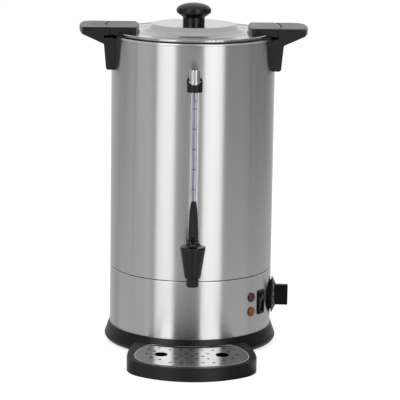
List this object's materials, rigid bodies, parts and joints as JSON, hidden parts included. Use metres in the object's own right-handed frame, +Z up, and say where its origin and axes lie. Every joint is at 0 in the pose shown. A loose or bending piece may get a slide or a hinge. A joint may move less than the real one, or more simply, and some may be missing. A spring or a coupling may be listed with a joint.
{
  "type": "hot water urn",
  "caption": "Tall steel hot water urn with turn-lock lid, side handles, front lever tap, glass level gauge, side controls and pull-out drip tray.",
  "frame": {"origin": "on the axis of the round body, at the level of the surface the feet stand on", "axes": "+Z up along the body axis, -Y towards the tap (the front), +X to the right of a person who faces the tap"},
  "size_m": [0.309, 0.3512, 0.4656],
  "materials": {
    "body_steel": "brushed round the body, satin",
    "lid_steel": "pressed and polished",
    "grill_steel": "punched sheet, satin",
    "black_plastic": "moulded, fine satin grain",
    "black_gloss": "moulded, semi-gloss",
    "grey_plastic": "moulded, glass filled",
    "red_lens": "translucent moulded lens",
    "amber_lens": "translucent moulded lens",
    "reset_red": "moulded",
    "ceramic": "glazed ceramic",
    "silicone": "moulded silicone",
    "foot_rubber": "moulded rubber",
    "wire_cover": "heat-proof sleeve",
    "glass": "clear drawn tube",
    "chrome": "plated, polished",
    "bright_steel": "bright turned steel",
    "brass": "turned brass",
    "element_steel": "annealed tube",
    "heater_aluminium": "cast plate",
    "zinc_plate": "zinc-plated sheet"
  },
  "bodies": {
    "urn": {"base_ring": "black_plastic", "base_shell": "body_steel", "bottom_plate": "zinc_plate", "clamp_bar": "bright_steel", "cutout_body": "grey_plastic", "floor_studs": "bright_steel", "gauge_cap": "chrome", "gauge_holder": "black_plastic", "gauge_nut": "black_plastic", "gauge_seals": "silicone", "gauge_tube": "glass", "handle_left": "black_plastic", "handle_right": "black_plastic", "heater_plate": "heater_aluminium", "inlet_pins": "brass", "inlet_screws": "bright_steel", "keep_warm_element": "element_steel", "lamp_amber": "amber_lens", "lamp_bulbs": "glass", "lamp_red": "red_lens", "main_element": "element_steel", "power_inlet": "black_gloss", "rubber_feet": "foot_rubber", "stud_nuts": "bright_steel", "switch_housing": "black_gloss", "switch_tabs": "brass", "tank": "body_steel", "tap_body": "black_plastic", "tap_bonnet": "black_gloss", "tap_nut": "grey_plastic", "tap_shank": "grey_plastic", "tap_spring": "bright_steel", "tap_washers": "silicone", "terminal_block": "ceramic", "thermostat_body": "grey_plastic", "thermostat_bulb": "bright_steel", "thermostat_nut": "bright_steel", "wall_inserts": "brass", "wall_screws": "bright_steel", "wall_washers": "silicone", "wiring": "wire_cover"},
    "lid_ring": {"lid_seal": "silicone"},
    "lid": {"lid_disc": "lid_steel", "lid_knob": "black_gloss", "lid_knob_washer": "bright_steel", "lid_knob_screw": "bright_steel", "lid_lug_left": "black_plastic", "lid_lug_right": "black_plastic", "lid_lug_screws": "bright_steel"},
    "tap_plunger": {"tap_stem": "bright_steel", "tap_seat_cup": "silicone", "tap_pin": "bright_steel"},
    "lever": {"tap_lever": "black_gloss"},
    "dial": {"thermostat_knob": "black_gloss", "thermostat_shaft": "bright_steel"},
    "rocker": {"switch_rocker": "black_gloss"},
    "reset": {"reset_button": "reset_red"},
    "tray": {"drip_tray": "black_plastic"},
    "grill": {"drip_grill": "grill_steel"}
  },
  "joints": [
    {"name": "lid_lift", "type": "slide", "parent": "urn", "child": "lid_ring", "axis": [0, 0, 1], "range_m": [0, 0.12]},
    {"name": "lid_turn", "type": "hinge", "parent": "lid_ring", "child": "lid", "pos_m": [0, 0, 0.4245], "axis": [0, 0, 1], "range_deg": [0, 30]},
    {"name": "tap_lift", "type": "slide", "parent": "urn", "child": "tap_plunger", "axis": [0, 0, 1], "range_m": [0, 0.004], "stiffness_N_per_m": 500, "springref_m": -0.008, "deforming": ["tap_spring"]},
    {"name": "lever_turn", "type": "hinge", "parent": "tap_plunger", "child": "lever", "pos_m": [0, -0.15, 0.1715], "axis": [1, 0, 0], "range_deg": [0, 60]},
    {"name": "dial_turn", "type": "hinge", "parent": "urn", "child": "dial", "pos_m": [0.12452, -0.01089, 0.0642], "axis": [-0.9962, 0.0872, 0], "range_deg": [0, 270]},
    {"name": "rocker_tilt", "type": "hinge", "parent": "urn", "child": "rocker", "pos_m": [0.09425, -0.05574, 0.0646], "axis": [-0.509, -0.8607, 0], "range_deg": [0, 20]},
    {"name": "reset_push", "type": "slide", "parent": "urn", "child": "reset", "axis": [0, 0, 1], "range_m": [0, 0.002], "stiffness_N_per_m": 400, "springref_m": -0.003},
    {"name": "tray_slide", "type": "slide", "parent": "urn", "child": "tray", "axis": [0, -1, 0], "range_m": [0, 0.12]},
    {"name": "grill_lift", "type": "slide", "parent": "tray", "child": "grill", "axis": [0, 0, 1], "range_m": [0, 0.04]}
  ],
  "couplings": [
    {"joint": "lever_turn", "follows": "tap_lift", "rad_per_m": 261.8}
  ]
}
